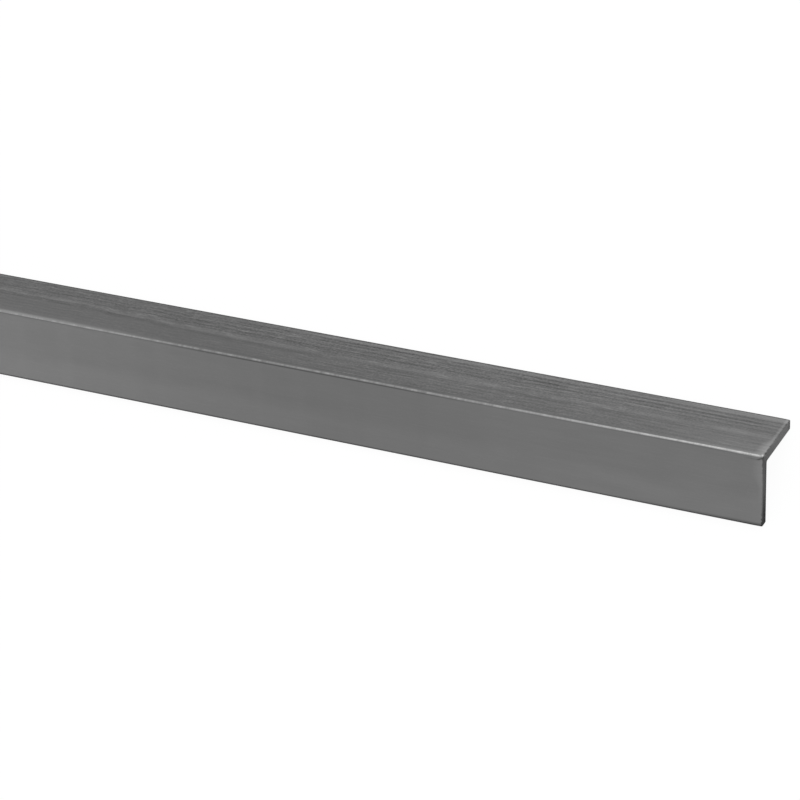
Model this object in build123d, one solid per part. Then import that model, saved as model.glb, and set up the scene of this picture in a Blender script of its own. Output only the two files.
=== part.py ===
from build123d import *
from math import sqrt
import os

# Sharp-edged equal-leg steel angle, cut square at both ends. Sizes are in millimetres.
# +X runs along the bar, +Y to the rear and +Z up. The bar lies as it comes to rest: heel up,
# both toes on the floor. The origin is on the floor, under the middle of the bar.

# The rolled section
leg_width = 30.0  # each leg, measured over the heel
leg_thickness = 4.0
heel_radius = 1.0  # outside corner where the legs meet
root_radius = 0.8  # inside corner where the legs meet
toe_radius = 0.3  # the two long edges at the free end of each leg

# The cut length
bar_length = 1000.0
end_break = 0.2  # burr filed off round each cut end

# The toes' inner edges touch the floor, so the heel's sharp corner stands this far above it.
toe_edge_lift = toe_radius * (sqrt(2) - 1)
heel_height = (leg_width + leg_thickness) / sqrt(2) - toe_edge_lift

# Turns a leg that runs along the sketch's x until it slopes down to the front toe.
front_leg_angle = -135


def round_corner(section, corner, radius):
    """Rounds the section's corner nearest to the given sketch point."""
    return fillet(section.vertices().sort_by_distance(corner)[0], radius)


def angle_section():
    """The L outline with its heel at the sketch's origin and its legs along x and y."""
    leg_along_x = Rectangle(leg_width, leg_thickness, align=Align.MIN)
    leg_along_y = Rectangle(leg_thickness, leg_width, align=Align.MIN)
    section = leg_along_x + leg_along_y

    section = round_corner(section, (0, 0), heel_radius)
    section = round_corner(section, (leg_thickness, leg_thickness), root_radius)
    for across in (0, leg_thickness):
        section = round_corner(section, (leg_width, across), toe_radius)
        section = round_corner(section, (across, leg_width), toe_radius)
    return section


def angle_bar():
    """The section set heel up on its toes, drawn out along the bar and cut at both ends."""
    across_bar = Plane((0, 0, heel_height), x_dir=(0, 1, 0), z_dir=(1, 0, 0))
    section = across_bar * Rot(0, 0, front_leg_angle) * angle_section()
    bar = extrude(section, amount=bar_length / 2, both=True)
    cut_ends = bar.faces().filter_by(Plane.YZ)
    return chamfer(cut_ends.edges(), end_break)


os.makedirs("parts", exist_ok=True)
export_step(angle_bar(), "parts/angle_bar.step")
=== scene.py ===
from math import pi, radians, sqrt
from types import SimpleNamespace

import bpy
import numpy as np
from mathutils import Matrix, Vector


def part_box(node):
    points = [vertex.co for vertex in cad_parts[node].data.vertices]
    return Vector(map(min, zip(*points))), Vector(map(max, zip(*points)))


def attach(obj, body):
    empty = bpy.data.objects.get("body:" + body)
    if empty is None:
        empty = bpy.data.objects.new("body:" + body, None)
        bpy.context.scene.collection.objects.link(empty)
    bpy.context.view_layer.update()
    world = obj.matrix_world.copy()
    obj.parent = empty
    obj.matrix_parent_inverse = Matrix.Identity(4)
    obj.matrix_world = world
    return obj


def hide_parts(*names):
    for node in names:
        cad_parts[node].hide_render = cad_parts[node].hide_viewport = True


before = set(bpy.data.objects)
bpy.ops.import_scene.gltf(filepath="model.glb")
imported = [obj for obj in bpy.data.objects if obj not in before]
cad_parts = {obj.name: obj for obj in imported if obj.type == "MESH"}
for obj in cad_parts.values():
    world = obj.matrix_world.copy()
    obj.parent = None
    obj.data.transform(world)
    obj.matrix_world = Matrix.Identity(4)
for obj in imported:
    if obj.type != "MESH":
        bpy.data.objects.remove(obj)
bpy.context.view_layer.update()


# ---------------------------------------------------------------------------------------------
# The angle bar: one length of equal-leg steel angle, 30 x 30 x 4 mm, drawn through a die so
# that its edges are sharp and its skin is streaked lengthwise. It is sheared square at both
# ends, which draws the faces down a little there, and it lies heel up on its two toes.

mm = 0.001
leg_width = 30 * mm
leg_thickness = 4 * mm
heel_radius = 1.0 * mm
root_radius = 0.8 * mm
toe_radius = 0.3 * mm

# What the shear leaves at each end: rounded edges, faces drawn down over the last few mm, and
# skin pushed up into a low swell beside the heel.
cut_edge = 0.3 * mm
rear_cut_edge = 0.9 * mm  # the blade enters through the rear leg's outer face
blade_start = 3 * mm  # how far from the heel, or from the toe, that fuller edge takes to build up
exit_share = 0.3  # how much of it the inner faces and the toes get, where the blade leaves
draw_depth = 0.10 * mm
draw_reach = 1.6 * mm
swell_height = 0.10 * mm
swell_place = 1.35 * mm  # from the heel's sharp corner, on the front leg
swell_width = 0.5 * mm
swell_reach = 10 * mm  # along the bar, from its end
cap_margin = 0.12 * mm  # flat rim of a cut end, before its fill begins

bar_low, bar_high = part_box("angle_bar")
bar_middle = (bar_low.x + bar_high.x) / 2
half_length = (bar_high.x - bar_low.x) / 2
heel_height = bar_high.z + heel_radius * (sqrt(2) - 1)  # where the heel's sharp corner would be

flat_count = 52  # points across one leg's face
flat_bunching = 0.75  # how much closer they stand at its two edges
heel_count = 13
corner_count = 4  # points on half of a toe corner
toe_count = 5
end_count = 24  # rings in the drawn-down stretch at each end
end_stretch = 12 * mm
end_crowding = 1.5  # power that crowds those rings towards the end
middle_count = 180
edge_count = 7  # rings round a cut edge


def spot(front, rear):
    """Section coordinates: distances from the heel's sharp corner along the front and rear leg."""
    return np.stack(np.broadcast_arrays(front, rear), axis=-1)


def arc(centre, radius, start, stop, count):
    """Points on a circle, at even angles in degrees."""
    angle = np.radians(np.linspace(start, stop, count))
    return centre[..., None, :] + radius * np.stack([np.cos(angle), np.sin(angle)], axis=1)


def straight(start, stop, count, bunching=0.0):
    """Points on a straight edge: even steps, less a share of one sine wave to bunch the ends."""
    share = np.linspace(0, 1, count)
    share = (share - bunching * np.sin(2 * pi * share) / (2 * pi))[:, None]
    return (1 - share) * start[..., None, :] + share * stop[..., None, :]


def joined(*runs):
    """Runs that share their end points, as one run."""
    return np.concatenate([runs[0]] + [run[..., 1:, :] for run in runs[1:]], axis=-2)


def section_sides(inset):
    """The L outline as four runs: outer faces, rear toe, inner faces, front toe. They meet in
    the middle of the toes' rounded corners. The outer faces are drawn in by inset, the others
    by exit_share of it."""
    low = inset
    wall = leg_thickness - exit_share * inset
    width = leg_width - exit_share * inset
    toe, heel, root = toe_radius, low + heel_radius, wall + root_radius
    outer = joined(
        arc(spot(width - toe, low + toe), toe, -45, -90, corner_count),
        straight(spot(width - toe, low), spot(heel, low), flat_count, flat_bunching),
        arc(spot(heel, heel), heel_radius, -90, -180, heel_count),
        straight(spot(low, heel), spot(low, width - toe), flat_count, flat_bunching),
        arc(spot(low + toe, width - toe), toe, 180, 135, corner_count),
    )
    rear_toe = joined(
        arc(spot(low + toe, width - toe), toe, 135, 90, corner_count),
        straight(spot(low + toe, width), spot(wall - toe, width), toe_count),
        arc(spot(wall - toe, width - toe), toe, 90, 45, corner_count),
    )
    inner = joined(
        arc(spot(wall - toe, width - toe), toe, 45, 0, corner_count),
        straight(spot(wall, width - toe), spot(wall, root), flat_count, flat_bunching),
        arc(spot(root, root), root_radius, 180, 270, heel_count),
        straight(spot(root, wall), spot(width - toe, wall), flat_count, flat_bunching),
        arc(spot(width - toe, wall - toe), toe, 90, 45, corner_count),
    )
    front_toe = joined(
        arc(spot(width - toe, wall - toe), toe, 45, 0, corner_count),
        straight(spot(width, wall - toe), spot(width, low + toe), toe_count),
        arc(spot(width - toe, low + toe), toe, 0, -45, corner_count),
    )
    return outer, rear_toe, inner, front_toe


def outline(inset):
    """The four runs as one closed ring, each corner point once."""
    return np.concatenate([run[..., :-1, :] for run in section_sides(inset)], axis=-2)


def smooth_step(value, low, high):
    """0 up to low, 1 from high, and an S curve between them."""
    share = np.clip((value - low) / (high - low), 0, 1)
    return share * share * (3 - 2 * share)


def blade_side(section):
    """How much of the blade's fuller edge a place gets: all of it on the rear leg's outer face,
    evenly less through the wall to none inside, and building up from none at heel and toe."""
    front, rear = section[..., 0], section[..., 1]
    through = np.clip(1 - front / leg_thickness, 0, 1)
    return through * smooth_step(rear, 0, blade_start) * smooth_step(leg_width - rear, 0, blade_start)


def skin_swell(section, from_end):
    """The swell beside the heel: a bell curve across the front leg's outer face, which rises
    over the first fifth of its reach along the bar and dies away over the rest."""
    front, rear = section[..., 0], section[..., 1]
    bell = np.exp(-(((front - swell_place) / swell_width) ** 2)) * (rear < leg_thickness / 2)
    rise = smooth_step(from_end, 0, swell_reach / 5)
    return swell_height * bell * rise * smooth_step(from_end, swell_reach, swell_reach / 5)


def filled_section(outer, rear_toe, inner, front_toe):
    """A flat sheet inside four runs: each run blended across to its opposite one, added up,
    less the blend of the four corners."""
    inner, front_toe = inner[::-1], front_toe[::-1]
    along = np.linspace(0, 1, len(outer))[:, None, None]
    across = np.linspace(0, 1, len(rear_toe))[None, :, None]
    faces = (1 - across) * outer[:, None] + across * inner[:, None]
    toes = (1 - along) * front_toe[None] + along * rear_toe[None]
    corners = (
        (1 - along) * (1 - across) * outer[0]
        + (1 - along) * across * inner[0]
        + along * (1 - across) * outer[-1]
        + along * across * inner[-1]
    )
    return faces + toes - corners


def grid_quads(index):
    """Quads between neighbours of a grid of vertex numbers."""
    return np.stack(
        [index[:-1, :-1], index[1:, :-1], index[1:, 1:], index[:-1, 1:]], axis=-1
    ).reshape(-1, 4)


def bar_place(x, section):
    """Turns places along the bar and section coordinates into points of the bar as it lies."""
    front, rear = section[..., 0], section[..., 1]
    y = (rear - front) / sqrt(2)
    z = heel_height - (front + rear) / sqrt(2)
    return np.stack(np.broadcast_arrays(x, y, z), axis=-1)


def angle_bar_mesh():
    """The L outline carried along the bar in rings, with a fill at each end.

    Towards an end the rings crowd by a power, each is drawn in by draw_depth times
    exp(-distance / draw_reach), and the last ones turn through a quarter circle of that
    point's own edge radius. The blade's fuller edge and the swell are added to the faces.
    """
    blade_extra = rear_cut_edge - cut_edge
    radius = cut_edge + blade_extra * blade_side(outline(np.zeros(1))[0])

    middle = np.linspace(0, half_length - end_stretch, middle_count // 2, endpoint=False)
    last = half_length - end_stretch * np.linspace(1, 0, end_count) ** end_crowding
    body = np.concatenate([middle, last])
    turn = np.concatenate([0 * body, np.linspace(0, pi / 2, edge_count)[1:]])
    body = np.concatenate([body, np.full(edge_count - 1, half_length)])
    half = np.maximum(body[:, None] - radius * (1 - np.sin(turn[:, None])), middle[:1])
    rounded = 1 - np.cos(turn)
    inset = cut_edge * rounded + draw_depth * np.exp(-(half_length - body) / draw_reach)

    section = outline(inset)
    swell = skin_swell(section, half_length - half)
    section[..., 0] += blade_extra * rounded[:, None] * blade_side(section)
    section[..., 1] -= swell
    x = np.vstack([-half[:0:-1], half])
    points = bar_place(bar_middle + x, np.vstack([section[:0:-1], section]))
    stations, around = points.shape[:2]
    index = np.arange(stations * around).reshape(stations, around)
    closed = np.hstack([index, index[:, :1]])
    vertices = [points.reshape(-1, 3)]
    quads = [grid_quads(closed)]

    cap_sides = section_sides(inset[-1:] + cap_margin)
    fill = filled_section(*[run[0] for run in cap_sides])
    fill[..., 0] += blade_extra * blade_side(fill)
    total = stations * around
    for end, edge_ring in ((-1, closed[0]), (1, closed[-1])):
        sheet = bar_place(bar_middle + end * half_length, fill)
        sheet_index = total + np.arange(fill.shape[0] * fill.shape[1]).reshape(fill.shape[:2])
        vertices.append(sheet.reshape(-1, 3))
        total += sheet_index.size
        rim = np.concatenate([
            sheet_index[:, 0], sheet_index[-1, 1:], sheet_index[::-1, -1][1:], sheet_index[0, ::-1][1:]
        ])
        rim_strip = grid_quads(np.stack([edge_ring, rim]))
        cap = grid_quads(sheet_index)[:, ::-1]
        end_quads = np.vstack([rim_strip, cap])
        quads.append(end_quads if end > 0 else end_quads[:, ::-1])

    mesh = bpy.data.meshes.new("angle_bar_steel")
    mesh.from_pydata(np.vstack(vertices).tolist(), [], np.vstack(quads).tolist())
    on_cut = np.repeat([False, True], [len(quads[0]), len(quads[1]) + len(quads[2])])
    mesh.polygons.foreach_set("material_index", on_cut.astype(np.int32))
    mesh.polygons.foreach_set("use_smooth", np.ones(len(mesh.polygons), bool))
    mesh.update()
    return mesh


bar = bpy.data.objects.new("angle_bar_steel", angle_bar_mesh())
bpy.context.scene.collection.objects.link(bar)
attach(bar, "root")
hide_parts("angle_bar")


# Greys of the steel, from what the shear tore to what handling rubbed bright. The darkest two
# also give painted shade, and the brightest gives painted highlights.
torn_and_shaded_dark = "#242424"
torn_light = "#5f5f5f"
sheared_light = "#787878"
dark_edge_and_shade = "#2b2b2b"
skin_dark = "#434343"
skin_light = "#7b7b7b"
rubbed_and_highlight_bright = "#c4c4c4"

die_line_spacing = 2.45  # in mm, as are all distances in the materials below
die_line_lean = 0.0062  # mm towards the heel for each mm along the bar
die_line_place = 22.35  # one line's distance from the heel, in the middle of the bar


def linear(hex_colour):
    """A linear RGBA colour from an sRGB one such as #6f6f70."""
    channel = np.array([int(hex_colour[at:at + 2], 16) for at in (1, 3, 5)]) / 255
    curve = np.where(channel <= 0.04045, channel / 12.92, ((channel + 0.055) / 1.055) ** 2.4)
    return (*curve.tolist(), 1.0)


def add_node(tree, kind, settings=None, inputs=None):
    """Adds a node, sets its properties, and sets each of its inputs or links it to a socket."""
    node = tree.nodes.new("ShaderNode" + kind)
    for name, value in (settings or {}).items():
        setattr(node, name, value)
    for name, value in (inputs or {}).items():
        if isinstance(value, bpy.types.NodeSocket):
            tree.links.new(value, node.inputs[name])
        else:
            node.inputs[name].default_value = value
    return node


def bar_coordinates(tree):
    """Millimetres along the bar from its middle, and from the heel's sharp corner along the
    front and rear leg: together as place, and each on its own."""
    place = add_node(tree, "Mapping", inputs={
        "Vector": add_node(tree, "TexCoord").outputs["Object"],
        "Scale": (1 / mm, 1 / mm, 1 / mm),
        "Rotation": (radians(135), 0, 0),
        "Location": (0, heel_height / mm / sqrt(2), heel_height / mm / sqrt(2)),
    }).outputs[0]
    along, front, rear = add_node(tree, "SeparateXYZ", inputs={0: place}).outputs
    return SimpleNamespace(place=place, along=along, front=front, rear=rear)


def add_edge_distances(tree, at):
    """Adds the distances from the nearer cut end, from both toes and from the heel's corner,
    and two masks: on_rear_leg grows from 0 to 1 just behind the heel, off_rear_leg is the
    rest."""
    half_bar = half_length / mm
    leg = leg_width / mm
    from_middle = add_node(tree, "Math", {"operation": "ABSOLUTE"}, {0: at.along}).outputs[0]
    at.from_end = add_node(tree, "Math", {"operation": "SUBTRACT"}, {
        0: half_bar, 1: from_middle,
    }).outputs[0]
    at.rear_edge = add_node(tree, "Math", {"operation": "SUBTRACT"}, {0: leg, 1: at.rear}).outputs[0]
    at.front_edge = add_node(tree, "Math", {"operation": "SUBTRACT"}, {0: leg, 1: at.front}).outputs[0]
    at.from_heel = add_node(tree, "VectorMath", {"operation": "LENGTH"}, {
        0: add_node(tree, "CombineXYZ", inputs={"Y": at.front, "Z": at.rear}).outputs[0],
    }).outputs[1]
    at.on_rear_leg = add_node(tree, "MapRange", inputs={
        "Value": at.rear, "From Min": 0.8, "From Max": 2.5,
    }).outputs[0]
    at.off_rear_leg = add_node(tree, "Math", {"operation": "SUBTRACT"}, {
        0: 1.0, 1: at.on_rear_leg,
    }).outputs[0]


def add_drift(tree, at):
    """Adds places that wander a few tenths of a mm sideways, by a noise along the bar, and less
    towards its right end. The die's marks follow them."""
    drift = add_node(tree, "TexNoise", {"noise_dimensions": "1D"}, {
        "W": at.along, "Scale": 1 / 16, "Detail": 2.0, "Roughness": 0.5,
    }).outputs[0]
    drift = add_node(tree, "Math", {"operation": "SUBTRACT"}, {0: drift, 1: 0.5}).outputs[0]
    drift_size = add_node(tree, "MapRange", {"interpolation_type": "SMOOTHSTEP"}, {
        "Value": at.along, "From Min": 240.0, "From Max": 330.0, "To Min": 1.8, "To Max": 0.5,
    }).outputs[0]
    drift = add_node(tree, "Math", {"operation": "MULTIPLY"}, {0: drift, 1: drift_size}).outputs[0]
    drift_vector = add_node(tree, "CombineXYZ", inputs={"Y": drift, "Z": drift}).outputs[0]
    at.wandering = add_node(tree, "VectorMath", {"operation": "ADD"}, {
        0: at.place, 1: drift_vector,
    }).outputs[0]
    at.across = add_node(tree, "Math", {"operation": "ADD"}, {0: at.rear, 1: drift}).outputs[0]


def die_lines(tree, at):
    """Regular die lines, a cosine across the rear leg: plain near its toe, faint near the heel
    and lost between. They are stronger towards the right end, and patches of noise make them
    stronger and weaker."""
    wave = add_node(tree, "Math", {"operation": "MULTIPLY_ADD"}, {
        0: at.along, 1: die_line_lean, 2: at.across,
    }).outputs[0]
    wave = add_node(tree, "Math", {"operation": "SUBTRACT"}, {0: wave, 1: die_line_place}).outputs[0]
    wave = add_node(tree, "Math", {"operation": "MULTIPLY"}, {
        0: wave, 1: 2 * pi / die_line_spacing,
    }).outputs[0]
    wave = add_node(tree, "Math", {"operation": "COSINE"}, {0: wave}).outputs[0]
    toe_lines = add_node(tree, "MapRange", {"interpolation_type": "SMOOTHSTEP"}, {
        "Value": at.rear, "From Min": 17.0, "From Max": 18.8,
    }).outputs[0]
    heel_lines = add_node(tree, "MapRange", {"interpolation_type": "SMOOTHSTEP"}, {
        "Value": at.rear, "From Min": 10.5, "From Max": 12.5, "To Min": 0.45, "To Max": 0.0,
    }).outputs[0]
    level = add_node(tree, "Math", {"operation": "ADD"}, {0: toe_lines, 1: heel_lines}).outputs[0]
    level_here = add_node(tree, "MapRange", {"interpolation_type": "SMOOTHSTEP"}, {
        "Value": at.along, "From Min": 275.0, "From Max": 335.0, "To Min": 0.2, "To Max": 0.6,
    }).outputs[0]
    patches = add_node(tree, "TexNoise", inputs={
        "Vector": add_node(tree, "Mapping", inputs={
            "Vector": at.place, "Scale": (1 / 26, 1 / 6, 1 / 6),
        }).outputs[0],
        "Scale": 1.0, "Detail": 1.0, "Roughness": 0.5,
    }).outputs[0]
    patches = add_node(tree, "MapRange", inputs={
        "Value": patches, "From Min": 0.35, "From Max": 0.65, "To Min": 1.3, "To Max": 0.5,
    }).outputs[0]
    for share in (level_here, patches, wave):
        level = add_node(tree, "Math", {"operation": "MULTIPLY"}, {0: level, 1: share}).outputs[0]
    return level


def drawn_texture(tree, at):
    """Irregular marks: the sum of four noises stretched along the bar. It is strong towards the
    rear toe, weaker near the heel, above all towards the bar's middle, calmer near an end, and
    all but polished out of the front leg's outer face."""
    # Each layer's length and width, the stretch of its noise that it uses, and the tones at
    # both ends of that: long lines, thin bright scratches, fine grain, light and dark patches.
    # Real scratches and grain are under 0.1 mm wide, too fine to show, so these two are drawn
    # as coarse as 0.5 and 0.6 mm.
    layers = (
        (at.wandering, 120, 1.1, 0.42, 0.75, -0.36, 0.85),
        (at.wandering, 10, 0.5, 0.54, 0.70, -0.20, 1.90),
        (at.wandering, 1.1, 0.6, 0.38, 0.75, -0.65, 1.25),
        (at.place, 26, 6, 0.25, 0.75, -0.40, 0.40),
    )
    texture = 0.03
    for vector, length, width, start, end, dark, light in layers:
        layer = add_node(tree, "TexNoise", inputs={
            "Vector": add_node(tree, "Mapping", inputs={
                "Vector": vector, "Scale": (1 / length, 1 / width, 1 / width),
            }).outputs[0],
            "Scale": 1.0, "Detail": 2.0, "Roughness": 0.55,
        }).outputs[0]
        layer = add_node(tree, "MapRange", inputs={
            "Value": layer, "From Min": start, "From Max": end, "To Min": dark, "To Max": light,
        }).outputs[0]
        texture = add_node(tree, "Math", {"operation": "ADD"}, {0: texture, 1: layer}).outputs[0]

    heel_depth = add_node(tree, "MapRange", {"interpolation_type": "SMOOTHSTEP"}, {
        "Value": at.along, "From Min": 270.0, "From Max": 340.0, "To Min": 0.25, "To Max": 0.68,
    }).outputs[0]
    toe_depth = add_node(tree, "MapRange", {"interpolation_type": "SMOOTHSTEP"}, {
        "Value": at.along, "From Min": 230.0, "From Max": 320.0, "To Min": 0.74, "To Max": 1.05,
    }).outputs[0]
    depth = add_node(tree, "MapRange", {"interpolation_type": "SMOOTHSTEP"}, {
        "Value": at.rear, "From Min": 12.0, "From Max": 19.0,
        "To Min": heel_depth, "To Max": toe_depth,
    }).outputs[0]
    end_calm = add_node(tree, "MapRange", {"interpolation_type": "SMOOTHSTEP"}, {
        "Value": at.from_end, "From Min": 5.0, "From Max": 90.0, "To Min": 0.62, "To Max": 1.08,
    }).outputs[0]
    depth = add_node(tree, "Math", {"operation": "MULTIPLY"}, {0: depth, 1: end_calm}).outputs[0]
    depth = add_node(tree, "MapRange", inputs={
        "Value": at.on_rear_leg, "To Min": 0.06, "To Max": depth,
    }).outputs[0]
    return add_node(tree, "Math", {"operation": "MULTIPLY"}, {0: texture, 1: depth}).outputs[0]


def lighter_band(tree, at):
    """One broad lighter band down the rear leg, 14 mm from the heel towards the right end and
    18 mm along the rest, with a dark line along its heel side. The band's sharp heel-side edge
    and that dark line are painted light and shade, as on a low step in the skin. A noise along
    the bar makes both stronger and weaker."""
    middle = add_node(tree, "MapRange", {"interpolation_type": "SMOOTHSTEP"}, {
        "Value": at.along, "From Min": 185.0, "From Max": 280.0, "To Min": 17.8, "To Max": 14.1,
    }).outputs[0]
    across_band = add_node(tree, "Math", {"operation": "SUBTRACT"}, {
        0: at.across, 1: middle,
    }).outputs[0]
    rise = add_node(tree, "MapRange", {"interpolation_type": "SMOOTHSTEP"}, {
        "Value": across_band, "From Min": -1.9, "From Max": 0.0,
    }).outputs[0]
    fall = add_node(tree, "MapRange", {"interpolation_type": "SMOOTHSTEP"}, {
        "Value": across_band, "From Min": 0.2, "From Max": 3.6, "To Min": 1.0, "To Max": 0.0,
    }).outputs[0]
    band = add_node(tree, "Math", {"operation": "MULTIPLY"}, {0: rise, 1: fall}).outputs[0]
    line = add_node(tree, "MapRange", {"interpolation_type": "SMOOTHSTEP"}, {
        "Value": across_band, "From Min": -4.6, "From Max": -2.6,
    }).outputs[0]
    beside_band = add_node(tree, "Math", {"operation": "SUBTRACT"}, {0: 1.0, 1: rise}).outputs[0]
    line = add_node(tree, "Math", {"operation": "MULTIPLY"}, {0: line, 1: beside_band}).outputs[0]
    line_level = add_node(tree, "MapRange", {"interpolation_type": "SMOOTHSTEP"}, {
        "Value": at.along, "From Min": 290.0, "From Max": 380.0, "To Min": -0.5, "To Max": -0.1,
    }).outputs[0]
    band = add_node(tree, "Math", {"operation": "MULTIPLY_ADD"}, {
        0: line, 1: line_level, 2: band,
    }).outputs[0]
    level = add_node(tree, "TexNoise", {"noise_dimensions": "1D"}, {
        "W": at.along, "Scale": 1 / 14, "Detail": 2.0, "Roughness": 0.5,
    }).outputs[0]
    level = add_node(tree, "MapRange", inputs={
        "Value": level, "From Min": 0.3, "From Max": 0.7, "To Min": 0.4, "To Max": 1.1,
    }).outputs[0]
    for share in (level, at.on_rear_leg):
        band = add_node(tree, "Math", {"operation": "MULTIPLY"}, {0: band, 1: share}).outputs[0]
    return band


def add_broad_tones(tree, at, marks):
    """Adds slow changes of tone to the marks, each an S curve between two distances: the rear
    leg darker as a whole but paler near the right end, a pale stretch behind each end, a paler
    middle and left part, a pale line behind the rear toe and a dark one beside the heel
    towards the right end, and a dark toe and paler lower part on the front leg. The rear leg's
    darkening is painted shade, and its paler right end, the stretches behind the ends and the
    pale line near the rear toe's edge are painted light."""
    pale_line_here = add_node(tree, "MapRange", {"interpolation_type": "SMOOTHSTEP"}, {
        "Value": at.along, "From Min": 225.0, "From Max": 310.0,
    }).outputs[0]
    far_part = add_node(tree, "MapRange", {"interpolation_type": "SMOOTHSTEP"}, {
        "Value": at.along, "From Min": 260.0, "From Max": 190.0,
    }).outputs[0]
    near_end = add_node(tree, "MapRange", inputs={
        "Value": at.from_end, "From Min": 0.0, "From Max": 60.0, "To Min": 1.0, "To Max": 0.0,
    }).outputs[0]
    rear_far_part, rear_near_end = [
        add_node(tree, "Math", {"operation": "MULTIPLY"}, {0: part, 1: at.on_rear_leg}).outputs[0]
        for part in (far_part, near_end)
    ]
    # The part it is on, the distance it follows, where on that it starts and is whole, its amount
    tones = (
        # Painted shade: the rear leg darker as a whole
        (at.on_rear_leg, at.rear, 0.0, 1.0, -0.29),
        # Painted light: the rear leg paler at the right end and behind each end, with a painted
        # highlight near its toe's edge there
        (at.on_rear_leg, at.along, 335.0, 380.0, 0.28),
        (rear_near_end, at.rear_edge, 11.0, 19.0, 0.30),
        (rear_near_end, at.rear_edge, 4.2, 2.6, 1.05),
        (rear_near_end, at.rear, 9.0, 5.0, 0.25),
        (rear_far_part, at.rear, 7.0, 2.0, 0.35),
        (rear_far_part, at.rear_edge, 7.6, 6.0, 0.30),
        (rear_far_part, at.rear_edge, 10.0, 20.0, 0.20),
        # Towards the right end: a painted highlight near the rear toe's edge, a dark line beside the
        # heel and a paler stretch beyond it
        (pale_line_here, at.rear_edge, 3.9, 2.2, 1.0),
        (pale_line_here, at.rear, 1.2, 2.0, -0.30),
        (pale_line_here, at.rear, 3.0, 4.2, 0.30),
        (at.off_rear_leg, at.front_edge, 1.2, 0.7, -0.6),
        (near_end, at.front_edge, 1.8, 0.9, -1.2),
        (at.off_rear_leg, at.front_edge, 15.0, 8.0, 0.22),
    )
    for mask, distance, start, whole, amount in tones:
        tone = add_node(tree, "MapRange", {"interpolation_type": "SMOOTHSTEP"}, {
            "Value": distance, "From Min": start, "From Max": whole, "To Max": amount,
        }).outputs[0]
        marks = add_node(tree, "Math", {"operation": "MULTIPLY_ADD"}, {
            0: tone, 1: mask, 2: marks,
        }).outputs[0]
    return marks


def toe_darkening(tree, at):
    """The toes are darker, a little further round the rear one's corner."""
    front_edge = add_node(tree, "Math", {"operation": "ADD"}, {0: at.front_edge, 1: 0.25}).outputs[0]
    toe_edge = add_node(tree, "Math", {"operation": "MINIMUM"}, {
        0: at.rear_edge, 1: front_edge,
    }).outputs[0]
    return add_node(tree, "MapRange", {"interpolation_type": "SMOOTHSTEP"}, {
        "Value": toe_edge, "From Min": 0.5, "From Max": 1.15, "To Min": 0.8, "To Max": 0.0,
    }).outputs[0]


def heel_dark_reflection(tree, at):
    """A painted dark reflection in a thin line under the heel on the front leg: a pulse 0.5 mm
    wide, strongest between 290 and 345 mm to the right of the bar's middle."""
    starts = add_node(tree, "MapRange", {"interpolation_type": "SMOOTHSTEP"}, {
        "Value": at.front, "From Min": 0.35, "From Max": 0.75,
    }).outputs[0]
    stops = add_node(tree, "MapRange", {"interpolation_type": "SMOOTHSTEP"}, {
        "Value": at.front, "From Min": 0.85, "From Max": 1.2, "To Min": 1.0, "To Max": 0.0,
    }).outputs[0]
    builds_up = add_node(tree, "MapRange", {"interpolation_type": "SMOOTHSTEP"}, {
        "Value": at.along, "From Min": 215.0, "From Max": 290.0, "To Min": -0.1, "To Max": 0.5,
    }).outputs[0]
    dies_away = add_node(tree, "MapRange", {"interpolation_type": "SMOOTHSTEP"}, {
        "Value": at.along, "From Min": 345.0, "From Max": 395.0, "To Min": 1.0, "To Max": 0.35,
    }).outputs[0]
    line = at.off_rear_leg
    for share in (starts, stops, builds_up, dies_away):
        line = add_node(tree, "Math", {"operation": "MULTIPLY"}, {0: line, 1: share}).outputs[0]
    return line


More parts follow.
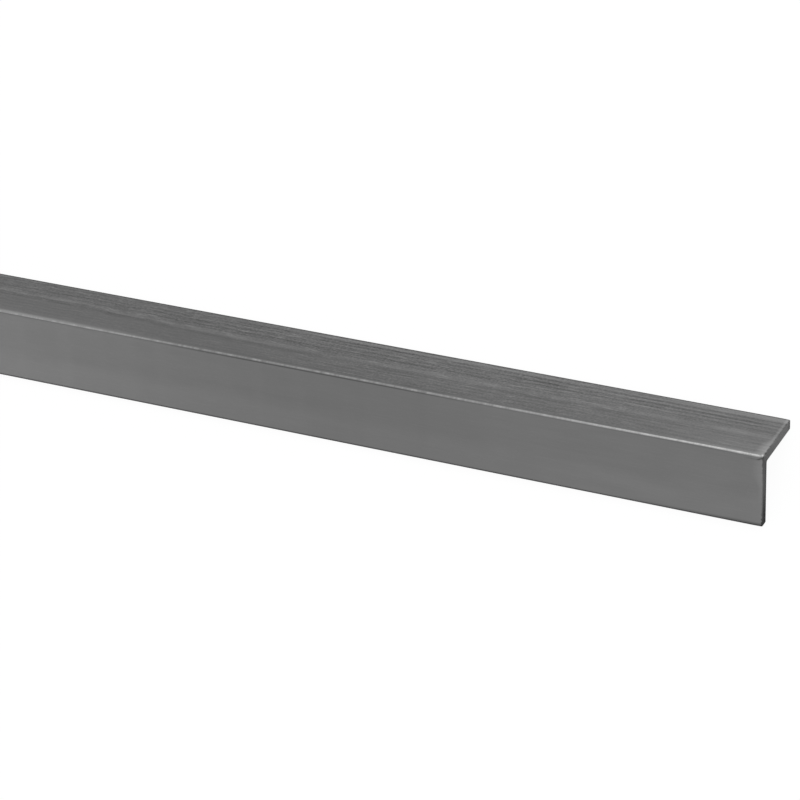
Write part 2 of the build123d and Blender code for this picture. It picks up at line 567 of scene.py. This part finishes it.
def heel_burnish_and_highlight(tree, at):
    """The heel's curve is painted bright on its rear side: a painted highlight, with some burnish
    from handling. The bright core is uneven by a noise along the bar, strongest near the ends
    but dull in the last 2 mm, and it sways 0.15 mm to the front between 20 and 170 mm from an
    end. A fainter skirt of it reaches 3 mm across the rear leg near the ends and along the
    bar's middle and left."""
    brightness = add_node(tree, "TexNoise", {"noise_dimensions": "1D"}, {
        "W": at.along, "Scale": 1 / 4, "Detail": 3.0, "Roughness": 0.75,
    }).outputs[0]
    brightness = add_node(tree, "MapRange", {"clamp": False}, {
        "Value": brightness, "From Min": 0.3, "From Max": 0.7, "To Min": -0.13, "To Max": 0.13,
    }).outputs[0]
    brightness_here = add_node(tree, "MapRange", {"interpolation_type": "SMOOTHSTEP"}, {
        "Value": at.along, "From Min": 220.0, "From Max": 270.0, "To Min": 0.39, "To Max": 0.23,
    }).outputs[0]
    end_brightness = add_node(tree, "MapRange", {"interpolation_type": "SMOOTHSTEP"}, {
        "Value": at.from_end, "From Min": 5.0, "From Max": 140.0, "To Min": 0.33, "To Max": 0.0,
    }).outputs[0]
    for more in (brightness_here, end_brightness):
        brightness = add_node(tree, "Math", {"operation": "ADD"}, {0: brightness, 1: more}).outputs[0]

    sway = add_node(tree, "MapRange", {"interpolation_type": "SMOOTHSTEP"}, {
        "Value": at.from_end, "From Min": 20.0, "From Max": 70.0, "To Min": 0.0, "To Max": 0.15,
    }).outputs[0]
    sway_stops = add_node(tree, "MapRange", {"interpolation_type": "SMOOTHSTEP"}, {
        "Value": at.from_end, "From Min": 120.0, "From Max": 170.0, "To Min": 1.0, "To Max": 0.0,
    }).outputs[0]
    sway = add_node(tree, "Math", {"operation": "MULTIPLY"}, {0: sway, 1: sway_stops}).outputs[0]
    core_rear = add_node(tree, "Math", {"operation": "ADD"}, {0: at.rear, 1: sway}).outputs[0]
    core_front = add_node(tree, "Math", {"operation": "SUBTRACT"}, {0: at.front, 1: sway}).outputs[0]
    core = add_node(tree, "MapRange", {"interpolation_type": "SMOOTHSTEP"}, {
        "Value": core_rear, "From Min": 0.65, "From Max": 1.1, "To Min": 1.0, "To Max": 0.0,
    }).outputs[0]
    core = add_node(tree, "Math", {"operation": "MULTIPLY"}, {0: core, 1: brightness}).outputs[0]

    spread = add_node(tree, "MapRange", {"interpolation_type": "SMOOTHSTEP"}, {
        "Value": at.along, "From Min": 175.0, "From Max": 265.0, "To Min": 0.34, "To Max": 0.0,
    }).outputs[0]
    end_spread = add_node(tree, "MapRange", {"interpolation_type": "SMOOTHSTEP"}, {
        "Value": at.from_end, "From Min": 0.0, "From Max": 60.0, "To Min": 0.19, "To Max": 0.0,
    }).outputs[0]
    spread = add_node(tree, "Math", {"operation": "ADD"}, {0: spread, 1: end_spread}).outputs[0]
    skirt = add_node(tree, "MapRange", {"interpolation_type": "SMOOTHSTEP"}, {
        "Value": at.rear, "From Min": 0.6, "From Max": 2.9, "To Min": 1.0, "To Max": 0.0,
    }).outputs[0]
    skirt = add_node(tree, "Math", {"operation": "MULTIPLY"}, {0: skirt, 1: spread}).outputs[0]

    burnish_and_highlight = add_node(tree, "Math", {"operation": "MAXIMUM"}, {0: core, 1: skirt}).outputs[0]
    front_reach = add_node(tree, "MapRange", {"interpolation_type": "SMOOTHSTEP"}, {
        "Value": at.from_end, "From Min": 2.0, "From Max": 24.0, "To Min": 0.85, "To Max": 0.6,
    }).outputs[0]
    front_stops = add_node(tree, "MapRange", {"interpolation_type": "SMOOTHSTEP"}, {
        "Value": core_front, "From Min": 0.25, "From Max": front_reach, "To Min": 1.0, "To Max": 0.0,
    }).outputs[0]
    end_dulls = add_node(tree, "MapRange", {"interpolation_type": "SMOOTHSTEP"}, {
        "Value": at.from_end, "From Min": 0.6, "From Max": 2.2, "To Min": 0.3, "To Max": 1.0,
    }).outputs[0]
    for share in (front_stops, end_dulls):
        burnish_and_highlight = add_node(tree, "Math", {"operation": "MULTIPLY"}, {0: burnish_and_highlight, 1: share}).outputs[0]
    return burnish_and_highlight


def end_highlight(tree, at):
    """Each end is painted bright behind its cut edge, 5 mm back near the heel and 2 mm elsewhere:
    a painted highlight where the faces are drawn down to the cut. The front leg gets little of
    it, and its lower part none."""
    near_corner = add_node(tree, "MapRange", {"interpolation_type": "SMOOTHSTEP"}, {
        "Value": at.from_heel, "From Min": 8.0, "From Max": 14.0, "To Min": 1.0, "To Max": 0.0,
    }).outputs[0]
    reach = add_node(tree, "MapRange", inputs={
        "Value": near_corner, "To Min": 1.9, "To Max": 5.0,
    }).outputs[0]
    edge_highlight = add_node(tree, "MapRange", {"interpolation_type": "SMOOTHSTEP"}, {
        "Value": at.from_end, "From Min": 0.8, "From Max": reach, "To Min": 1.0, "To Max": 0.0,
    }).outputs[0]
    rear_level = add_node(tree, "MapRange", inputs={
        "Value": near_corner, "To Min": 0.13, "To Max": 0.21,
    }).outputs[0]
    front_level = add_node(tree, "MapRange", inputs={
        "Value": at.front, "From Min": 10.0, "From Max": 22.0, "To Min": 0.045, "To Max": 0.0,
    }).outputs[0]
    level = add_node(tree, "MapRange", inputs={
        "Value": at.on_rear_leg, "To Min": front_level, "To Max": rear_level,
    }).outputs[0]
    return add_node(tree, "Math", {"operation": "MULTIPLY"}, {0: edge_highlight, 1: level}).outputs[0]


def end_shadow(tree, at):
    """A painted shadow below the heel's burr and swell: a dark line that starts where the heel
    meets the cut and slopes down the front leg, 0.4 mm for each mm along the bar. After 1.9 mm
    it bends along the bar and fades."""
    sloping = add_node(tree, "Math", {"operation": "MINIMUM"}, {0: at.from_end, 1: 1.9}).outputs[0]
    shadow_line = add_node(tree, "Math", {"operation": "MULTIPLY_ADD"}, {
        0: sloping, 1: -0.4, 2: at.front,
    }).outputs[0]
    shadow_line = add_node(tree, "Math", {"operation": "SUBTRACT"}, {0: shadow_line, 1: 0.75}).outputs[0]
    shadow_line = add_node(tree, "Math", {"operation": "ABSOLUTE"}, {0: shadow_line}).outputs[0]
    shadow_line = add_node(tree, "MapRange", {"interpolation_type": "SMOOTHSTEP"}, {
        "Value": shadow_line, "From Min": 0.1, "From Max": 0.6, "To Min": 0.7, "To Max": 0.0,
    }).outputs[0]
    weakens = add_node(tree, "MapRange", {"interpolation_type": "SMOOTHSTEP"}, {
        "Value": at.from_end, "From Min": 1.4, "From Max": 3.0, "To Min": 1.0, "To Max": 0.2,
    }).outputs[0]
    stops = add_node(tree, "MapRange", {"interpolation_type": "SMOOTHSTEP"}, {
        "Value": at.from_end, "From Min": 5.0, "From Max": 8.0, "To Min": 1.0, "To Max": 0.0,
    }).outputs[0]
    for share in (weakens, stops, at.off_rear_leg):
        shadow_line = add_node(tree, "Math", {"operation": "MULTIPLY"}, {0: shadow_line, 1: share}).outputs[0]
    return shadow_line


def torn_edge(tree, at):
    """The shear tears the last few tenths of a mm of the cut edge, with a ragged border. Gives
    where that is, and its colour, which is dark at the heel and darkest at the front toe, where
    that darkening is painted shade."""
    ragged = add_node(tree, "TexNoise", inputs={
        "Vector": at.place, "Scale": 1 / 1.1, "Detail": 2.0, "Roughness": 0.6,
    }).outputs[0]
    torn = add_node(tree, "Math", {"operation": "MULTIPLY_ADD"}, {
        0: ragged, 1: 1.4, 2: at.from_end,
    }).outputs[0]
    torn = add_node(tree, "MapRange", {"interpolation_type": "SMOOTHSTEP"}, {
        "Value": torn, "From Min": 0.8, "From Max": 1.3, "To Min": 1.0, "To Max": 0.0,
    }).outputs[0]
    shade = add_node(tree, "MapRange", inputs={
        "Value": at.from_heel, "From Min": 1.0, "From Max": 11.0, "To Min": 0.35, "To Max": 1.0,
    }).outputs[0]
    # Painted shade: the torn edge darkens towards the front toe, as the end does.
    front_toe_shade = add_node(tree, "MapRange", inputs={
        "Value": at.front, "From Min": 22.0, "From Max": 29.0, "To Min": 1.0, "To Max": 0.05,
    }).outputs[0]
    rear_toe_shade = add_node(tree, "MapRange", inputs={
        "Value": at.rear, "From Min": 27.3, "From Max": 28.3, "To Min": 1.0, "To Max": 0.65,
    }).outputs[0]
    for share in (front_toe_shade, rear_toe_shade):
        shade = add_node(tree, "Math", {"operation": "MULTIPLY"}, {0: shade, 1: share}).outputs[0]
    torn_colour = add_node(tree, "Mix", {"data_type": "RGBA"}, {
        0: shade, 6: linear(torn_and_shaded_dark), 7: linear(torn_light),
    }).outputs[2]
    return torn, torn_colour


def burr_highlight(tree, at):
    """A painted highlight on the rear side of the burr where the heel meets the cut: a round spot."""
    rear = add_node(tree, "Math", {"operation": "SUBTRACT"}, {0: at.rear, 1: 1.2}).outputs[0]
    from_end = add_node(tree, "Math", {"operation": "SUBTRACT"}, {0: at.from_end, 1: 0.6}).outputs[0]
    spot_distance = add_node(tree, "VectorMath", {"operation": "LENGTH"}, {
        0: add_node(tree, "CombineXYZ", inputs={"X": rear, "Y": from_end}).outputs[0],
    }).outputs[1]
    return add_node(tree, "MapRange", {"interpolation_type": "SMOOTHSTEP"}, {
        "Value": spot_distance, "From Min": 0.2, "From Max": 0.8, "To Min": 0.62, "To Max": 0.0,
    }).outputs[0]


def drawn_steel_skin():
    """Cold-drawn mild steel, bare and dull grey. The die marks it lengthwise, which gives the
    eye fine streaks that catch the light, and the heel and the ends carry painted highlights,
    the heel's partly burnish from handling."""
    material = bpy.data.materials.new("cold_drawn_steel_skin")
    material.use_nodes = True
    tree = material.node_tree
    tree.nodes.clear()
    at = bar_coordinates(tree)
    add_edge_distances(tree, at)
    add_drift(tree, at)

    marks = die_lines(tree, at)
    for more in (drawn_texture(tree, at), lighter_band(tree, at)):
        marks = add_node(tree, "Math", {"operation": "ADD"}, {0: marks, 1: more}).outputs[0]
    marks = add_broad_tones(tree, at, marks)
    shade = add_node(tree, "MapRange", inputs={
        "Value": marks, "From Min": -2.0, "From Max": 2.0,
    }).outputs[0]
    colour = add_node(tree, "Mix", {"data_type": "RGBA"}, {
        0: shade, 6: linear(skin_dark), 7: linear(skin_light),
    }).outputs[2]

    torn, torn_colour = torn_edge(tree, at)
    # On top of the marks: darker toes, a painted dark reflection under the heel, painted highlights on
    # the heel, behind the ends and on the burr, a painted shadow below the burr, and the torn edge.
    for mask, tone in (
        (toe_darkening(tree, at), linear(dark_edge_and_shade)),
        (heel_dark_reflection(tree, at), linear(dark_edge_and_shade)),
        (heel_burnish_and_highlight(tree, at), linear(rubbed_and_highlight_bright)),
        (end_highlight(tree, at), linear(rubbed_and_highlight_bright)),
        (end_shadow(tree, at), linear(dark_edge_and_shade)),
        (torn, torn_colour),
        (burr_highlight(tree, at), linear(rubbed_and_highlight_bright)),
    ):
        colour = add_node(tree, "Mix", {"data_type": "RGBA"}, {0: mask, 6: colour, 7: tone}).outputs[2]

    # Lighter marks are polished a little smoother, and stand up 0.03 mm at the most.
    rough = add_node(tree, "MapRange", inputs={
        "Value": shade, "To Min": 0.52, "To Max": 0.42,
    }).outputs[0]
    bump = add_node(tree, "Bump", inputs={"Strength": 1.0, "Distance": 0.03 * mm, "Height": shade})
    steel = add_node(tree, "BsdfPrincipled", inputs={
        "Base Color": colour, "Metallic": 1.0, "Roughness": rough, "Normal": bump.outputs[0],
    })
    add_node(tree, "OutputMaterial", inputs={"Surface": steel.outputs[0]})
    return material


def sheared_steel_end():
    """Sheared mild steel, bare and torn by the blade: darker, rougher and more mottled than the
    skin. It is paler across the rear leg, darker inwards, and darker down the front leg towards
    its toe, which is painted shade of the floor's shadow that the end faces there."""
    material = bpy.data.materials.new("sheared_steel_end")
    material.use_nodes = True
    tree = material.node_tree
    tree.nodes.clear()
    at = bar_coordinates(tree)
    rear_shade = add_node(tree, "MapRange", {"interpolation_type": "SMOOTHSTEP"}, {
        "Value": at.rear, "From Min": 4.0, "From Max": 19.0, "To Min": 0.55, "To Max": 0.74,
    }).outputs[0]
    toe_shade = add_node(tree, "MapRange", {"interpolation_type": "SMOOTHSTEP"}, {
        "Value": at.rear, "From Min": 27.2, "From Max": 28.2, "To Max": -0.28,
    }).outputs[0]
    rear_shade = add_node(tree, "Math", {"operation": "ADD"}, {0: rear_shade, 1: toe_shade}).outputs[0]
    down = add_node(tree, "Math", {"operation": "SUBTRACT"}, {0: at.front, 1: at.rear}).outputs[0]
    # Painted shade: the front leg's end grows darker towards its toe, as if mirroring the floor's
    # shadow beside the bar.
    front_shade = add_node(tree, "MapRange", {"interpolation_type": "SMOOTHSTEP"}, {
        "Value": down, "From Min": 10.0, "From Max": 26.0, "To Min": 0.36, "To Max": -0.04,
    }).outputs[0]
    inner_shade = add_node(tree, "MapRange", inputs={
        "Value": at.rear, "From Min": 0.5, "From Max": 3.5, "To Min": 0.08, "To Max": -0.12,
    }).outputs[0]
    front_shade = add_node(tree, "Math", {"operation": "ADD"}, {
        0: front_shade, 1: inner_shade,
    }).outputs[0]
    shade = add_node(tree, "MapRange", {"interpolation_type": "SMOOTHSTEP"}, {
        "Value": down, "From Min": -2.0, "From Max": 2.0, "To Min": rear_shade, "To Max": front_shade,
    }).outputs[0]

    # The torn grain is really a few tenths of a mm wide, which hardly shows, so it is drawn as
    # coarse as 0.7 mm, and 2 mm deep.
    tear = add_node(tree, "TexNoise", inputs={
        "Vector": add_node(tree, "Mapping", inputs={
            "Vector": at.place, "Scale": (1 / 2, 1 / 0.7, 1 / 0.7),
        }).outputs[0],
        "Scale": 1.0, "Detail": 3.0, "Roughness": 0.6,
    }).outputs[0]
    mottle = add_node(tree, "MapRange", {"clamp": False}, {
        "Value": tear, "From Min": 0.3, "From Max": 0.7, "To Min": -0.14, "To Max": 0.34,
    }).outputs[0]
    shade = add_node(tree, "Math", {"operation": "ADD"}, {0: mottle, 1: shade}).outputs[0]
    colour = add_node(tree, "Mix", {"data_type": "RGBA"}, {
        0: shade, 6: linear(torn_and_shaded_dark), 7: linear(sheared_light),
    }).outputs[2]
    bump = add_node(tree, "Bump", inputs={"Strength": 1.0, "Distance": 0.05 * mm, "Height": tear})
    steel = add_node(tree, "BsdfPrincipled", inputs={
        "Base Color": colour, "Metallic": 1.0, "Roughness": 0.55, "Normal": bump.outputs[0],
        "Specular Tint": (0.6, 0.6, 0.6, 1.0),  # a torn face shines less at a glancing angle
    })
    add_node(tree, "OutputMaterial", inputs={"Surface": steel.outputs[0]})
    return material


bar.data.materials.append(drawn_steel_skin())
bar.data.materials.append(sheared_steel_end())


# ---------------------------------------------------------------------------------------------
# The studio: a matt white paper floor in a plain white room, with four large softboxes round
# the bar. The floor shows itself mostly as plain white and keeps a share of its real,
# shadowed shade.

floor_size = 12.0
floor_glow = 0.95  # share of the floor's look that is plain white
paper_white = "#f6f6f6"
room_level = 1.0
lit_place = Vector((0.35, 0, 0.02))  # what the softboxes face, behind the bar's right end

half = floor_size / 2
floor_mesh = bpy.data.meshes.new("studio_floor")
floor_mesh.from_pydata(
    [(-half, -half, 0), (half, -half, 0), (half, half, 0), (-half, half, 0)], [], [(0, 1, 2, 3)]
)
floor = bpy.data.objects.new("studio_floor", floor_mesh)
bpy.context.scene.collection.objects.link(floor)

paper = bpy.data.materials.new("matt_white_paper")
paper.use_nodes = True
tree = paper.node_tree
tree.nodes.clear()
rays = add_node(tree, "LightPath")
seen = add_node(tree, "Math", {"operation": "MAXIMUM"}, {
    0: rays.outputs["Is Camera Ray"], 1: rays.outputs["Is Glossy Ray"],
}).outputs[0]
seen = add_node(tree, "Math", {"operation": "MAXIMUM"}, {
    0: seen, 1: rays.outputs["Is Transmission Ray"],
}).outputs[0]
glow = add_node(tree, "Math", {"operation": "MULTIPLY"}, {0: seen, 1: floor_glow}).outputs[0]
matt = add_node(tree, "BsdfDiffuse", inputs={"Color": linear(paper_white)}).outputs[0]
white = add_node(tree, "Emission", inputs={"Strength": 1.0}).outputs[0]
both = add_node(tree, "MixShader", inputs={0: glow, 1: matt, 2: white}).outputs[0]
add_node(tree, "OutputMaterial", inputs={"Surface": both})
floor_mesh.materials.append(paper)

world = bpy.data.worlds.new("white_room")
bpy.context.scene.world = world
world.use_nodes = True
world.node_tree.nodes["Background"].inputs["Color"].default_value = (1, 1, 1, 1)
world.node_tree.nodes["Background"].inputs["Strength"].default_value = room_level


def softbox(name, place, size, level):
    """A rectangular lamp that faces lit_place. Its power is pi times its area times level, so
    that a level of 1 is as bright as plain white."""
    lamp = bpy.data.lights.new(name, "AREA")
    lamp.shape = "RECTANGLE"
    lamp.size, lamp.size_y = size
    lamp.energy = pi * size[0] * size[1] * level
    holder = bpy.data.objects.new(name, lamp)
    holder.location = place
    toward = lit_place - Vector(place)
    holder.rotation_euler = toward.to_track_quat("-Z", "Y").to_euler()
    holder.visible_camera = False
    bpy.context.scene.collection.objects.link(holder)


softbox("overhead_softbox", (0.5, 0.58, 0.93), (0.5, 0.8), 1.8)
softbox("back_softbox", (0.5, 1.03, 0.38), (0.5, 0.4), 4.0)
softbox("front_left_softbox", (-0.75, -1.03, 0.38), (0.6, 0.4), 3.7)
softbox("front_right_softbox", (0.6, -0.93, 0.58), (0.5, 0.7), 2.1)


# ---------------------------------------------------------------------------------------------
# The camera: a long lens over a metre away, high above the bar's right end and a little to the
# right and in front of it. It is rolled, so that the bar slants only gently across the view.

camera_aim = Vector((0.35259, -0.00393, 0.01999))
camera_distance = 1.16198
view_azimuth = radians(61.666)
view_down = radians(63.204)
view_roll = radians(-47.963)
lens_length = 135.68  # in mm, as is the sensor's width
sensor_width = 36.0
camera_data = bpy.data.cameras.new("camera")
camera_data.lens = lens_length
camera_data.sensor_width = sensor_width
camera = bpy.data.objects.new("camera", camera_data)
turn = (
    Matrix.Rotation(view_azimuth, 3, "Z")
    @ Matrix.Rotation(radians(90) - view_down, 3, "X")
    @ Matrix.Rotation(view_roll, 3, "Z")
)
camera.rotation_euler = turn.to_euler()
camera.location = camera_aim + turn @ Vector((0, 0, camera_distance))
bpy.context.scene.collection.objects.link(camera)
bpy.context.scene.camera = camera
bpy.context.scene.view_settings.view_transform = "Standard"
